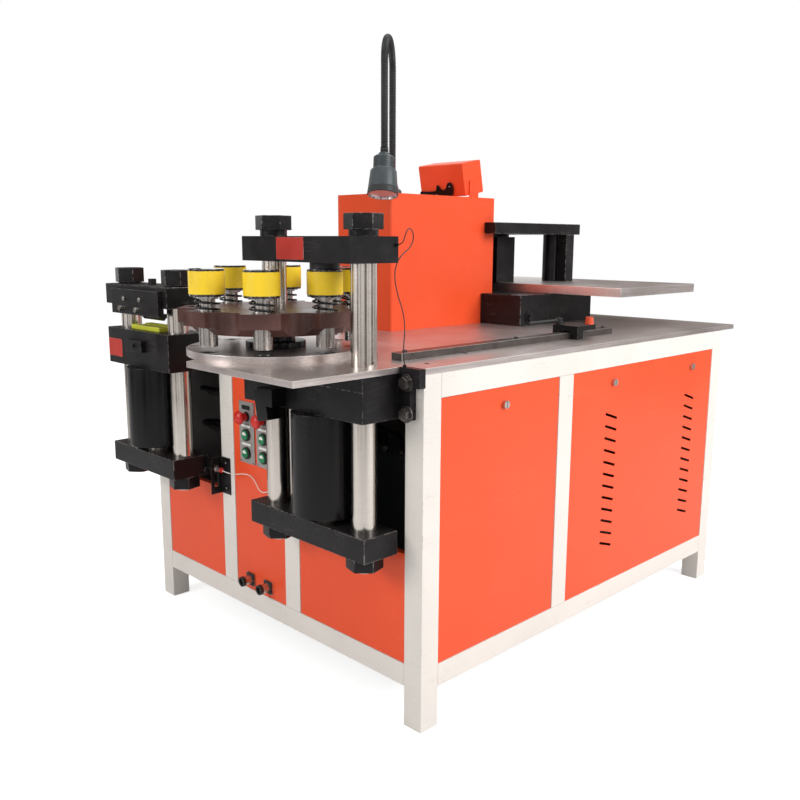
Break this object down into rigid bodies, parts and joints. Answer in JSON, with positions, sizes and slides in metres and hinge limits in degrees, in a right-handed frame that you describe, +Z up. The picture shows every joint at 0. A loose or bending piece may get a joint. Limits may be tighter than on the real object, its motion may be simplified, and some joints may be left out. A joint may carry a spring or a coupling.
{
  "type": "busbar processing machine",
  "caption": "Steel cabinet machine with a rotary turret punching press, a side forming press, a horizontal bending unit, a fence, a control tower and a bent-neck work lamp",
  "frame": {"origin": "middle of the footprint, on the floor", "axes": "+X runs right along the front with the two doors, +Y runs to the back, +Z is up"},
  "size_m": [1.948, 1.246, 1.8134],
  "materials": {
    "white_paint": "satin powder coat",
    "orange_paint": "satin powder coat",
    "chrome": "hard chrome",
    "ground_steel": "ground",
    "black_oxide": "black oxide",
    "brown_paint": "satin",
    "grey_plate": "satin",
    "grey_paint": "satin",
    "red_plastic": "gloss",
    "green_plastic": "gloss",
    "black_plastic": "matte",
    "white_plastic": "matte",
    "pad_yellow": "satin",
    "spring_steel": "black oxide"
  },
  "bodies": {
    "frame": {"beam_wire": "black_plastic", "bending_base": "black_oxide", "bending_head": "black_oxide", "cabinet_frame": "white_paint", "cabinet_panels": "orange_paint", "fence_bar": "ground_steel", "forming_block": "black_oxide", "forming_die": "ground_steel", "front_door_narrow": "orange_paint", "front_door_wide": "orange_paint", "hydraulic_cylinders": "black_oxide", "lamp_neck": "black_oxide", "limit_switch": "black_oxide", "operator_plates": "grey_plate", "power_pack": "grey_paint", "press_block": "black_oxide", "press_mounts": "black_oxide", "sensor_wire": "white_plastic", "table_plates": "ground_steel", "tower_cover": "orange_paint", "valve_block": "ground_steel"},
    "press_frame": {"press_beams": "black_oxide", "press_columns": "chrome", "press_ram": "chrome"},
    "turret": {"turret_die_disc": "ground_steel", "turret_disc": "brown_paint", "turret_bushes": "ground_steel", "punch_spring_1": "spring_steel", "punch_spring_2": "spring_steel", "punch_spring_3": "spring_steel", "punch_spring_4": "spring_steel", "punch_spring_5": "spring_steel", "punch_spring_6": "spring_steel", "punch_spring_7": "spring_steel"},
    "forming_frame": {"forming_beams": "black_oxide", "forming_columns": "chrome", "forming_ram": "chrome", "forming_tool": "black_oxide"},
    "ram_slide": {"bending_ram": "black_oxide"},
    "stop": {"fence_stop": "black_oxide"},
    "knob": {"stop_knob": "red_plastic"},
    "lever": {"clamp_lever": "black_plastic"},
    "screen_box": {"control_box": "grey_paint"},
    "lamp": {"lamp_head": "grey_paint"},
    "stop_button_1": {"emergency_stop_1": "red_plastic"},
    "stop_button_2": {"emergency_stop_2": "red_plastic"},
    "station_1": {"punch_1": "pad_yellow"},
    "station_2": {"punch_2": "pad_yellow"},
    "station_3": {"punch_3": "pad_yellow"},
    "station_4": {"punch_4": "pad_yellow"},
    "station_5": {"punch_5": "pad_yellow"},
    "station_6": {"punch_6": "pad_yellow"},
    "station_7": {"punch_7": "pad_yellow"},
    "push_button_1": {"green_button_1": "green_plastic"},
    "push_button_2": {"green_button_2": "green_plastic"},
    "push_button_3": {"green_button_3": "green_plastic"},
    "push_button_4": {"green_button_4": "green_plastic"},
    "cam_lock_1": {"door_lock_1": "chrome"},
    "cam_lock_2": {"door_lock_2": "chrome"},
    "cam_lock_3": {"door_lock_3": "chrome"}
  },
  "joints": [
    {"name": "press_slide", "type": "slide", "parent": "frame", "child": "press_frame", "axis": [0, 0, -1], "range_m": [0, 0.025]},
    {"name": "turret_spin", "type": "hinge", "parent": "frame", "child": "turret", "pos_m": [-0.718, -0.153, 0.91], "axis": [0, 0, 1], "continuous": true},
    {"name": "punch_1_slide", "type": "slide", "parent": "turret", "child": "station_1", "axis": [0, 0, -1], "range_m": [0, 0.025], "stiffness_N_per_m": 5000, "springref_m": -0.02, "deforming": ["punch_spring_1"]},
    {"name": "punch_2_slide", "type": "slide", "parent": "turret", "child": "station_2", "axis": [0, 0, -1], "range_m": [0, 0.025], "stiffness_N_per_m": 5000, "springref_m": -0.02, "deforming": ["punch_spring_2"]},
    {"name": "punch_3_slide", "type": "slide", "parent": "turret", "child": "station_3", "axis": [0, 0, -1], "range_m": [0, 0.025], "stiffness_N_per_m": 5000, "springref_m": -0.02, "deforming": ["punch_spring_3"]},
    {"name": "punch_4_slide", "type": "slide", "parent": "turret", "child": "station_4", "axis": [0, 0, -1], "range_m": [0, 0.025], "stiffness_N_per_m": 5000, "springref_m": -0.02, "deforming": ["punch_spring_4"]},
    {"name": "punch_5_slide", "type": "slide", "parent": "turret", "child": "station_5", "axis": [0, 0, -1], "range_m": [0, 0.025], "stiffness_N_per_m": 5000, "springref_m": -0.02, "deforming": ["punch_spring_5"]},
    {"name": "punch_6_slide", "type": "slide", "parent": "turret", "child": "station_6", "axis": [0, 0, -1], "range_m": [0, 0.025], "stiffness_N_per_m": 5000, "springref_m": -0.02, "deforming": ["punch_spring_6"]},
    {"name": "punch_7_slide", "type": "slide", "parent": "turret", "child": "station_7", "axis": [0, 0, -1], "range_m": [0, 0.025], "stiffness_N_per_m": 5000, "springref_m": -0.02, "deforming": ["punch_spring_7"]},
    {"name": "forming_slide", "type": "slide", "parent": "frame", "child": "forming_frame", "axis": [0, 0, -1], "range_m": [0, 0.0145]},
    {"name": "bending_slide", "type": "slide", "parent": "frame", "child": "ram_slide", "axis": [1, 0, 0], "range_m": [0, 0.045]},
    {"name": "emergency_stop_1_press", "type": "slide", "parent": "frame", "child": "stop_button_1", "axis": [1, 0, 0], "range_m": [0, 0.006], "stiffness_N_per_m": 1500, "springref_m": -0.002},
    {"name": "emergency_stop_2_press", "type": "slide", "parent": "frame", "child": "stop_button_2", "axis": [1, 0, 0], "range_m": [0, 0.006], "stiffness_N_per_m": 1500, "springref_m": -0.002},
    {"name": "green_button_1_press", "type": "slide", "parent": "frame", "child": "push_button_1", "axis": [1, 0, 0], "range_m": [0, 0.0025], "stiffness_N_per_m": 1200, "springref_m": -0.001},
    {"name": "green_button_2_press", "type": "slide", "parent": "frame", "child": "push_button_2", "axis": [1, 0, 0], "range_m": [0, 0.0025], "stiffness_N_per_m": 1200, "springref_m": -0.001},
    {"name": "green_button_3_press", "type": "slide", "parent": "frame", "child": "push_button_3", "axis": [1, 0, 0], "range_m": [0, 0.0025], "stiffness_N_per_m": 1200, "springref_m": -0.001},
    {"name": "green_button_4_press", "type": "slide", "parent": "frame", "child": "push_button_4", "axis": [1, 0, 0], "range_m": [0, 0.0025], "stiffness_N_per_m": 1200, "springref_m": -0.001},
    {"name": "door_lock_1_turn", "type": "hinge", "parent": "frame", "child": "cam_lock_1", "pos_m": [-0.3485, -0.615, 0.789], "axis": [0, 1, 0], "range_deg": [0, 90]},
    {"name": "door_lock_2_turn", "type": "hinge", "parent": "frame", "child": "cam_lock_2", "pos_m": [0.162, -0.615, 0.789], "axis": [0, 1, 0], "range_deg": [0, 90]},
    {"name": "door_lock_3_turn", "type": "hinge", "parent": "frame", "child": "cam_lock_3", "pos_m": [0.64, -0.615, 0.789], "axis": [0, 1, 0], "range_deg": [0, 90]},
    {"name": "screen_box_tilt", "type": "hinge", "parent": "frame", "child": "screen_box", "pos_m": [0.3145, 0.179, 1.3915], "axis": [0, 1, 0], "range_deg": [-6, 11]},
    {"name": "lamp_head_tilt", "type": "hinge", "parent": "frame", "child": "lamp", "pos_m": [-0.18611, 0.00016, 1.465], "axis": [-0.6088, 0.7934, 0], "range_deg": [-15, 25]},
    {"name": "fence_stop_slide", "type": "slide", "parent": "frame", "child": "stop", "axis": [1, 0, 0], "range_m": [-0.6, 0.12]},
    {"name": "stop_knob_turn", "type": "hinge", "parent": "stop", "child": "knob", "pos_m": [0.1864, -0.506, 0.929], "axis": [0, 0, 1], "range_deg": [0, 270]},
    {"name": "clamp_lever_turn", "type": "hinge", "parent": "stop", "child": "lever", "pos_m": [0.1192, -0.443, 0.929], "axis": [0, 0, 1], "range_deg": [-90, 0]}
  ],
  "couplings": [
    {"joint": "punch_1_slide", "follows": "press_slide", "ratio": 1}
  ]
}
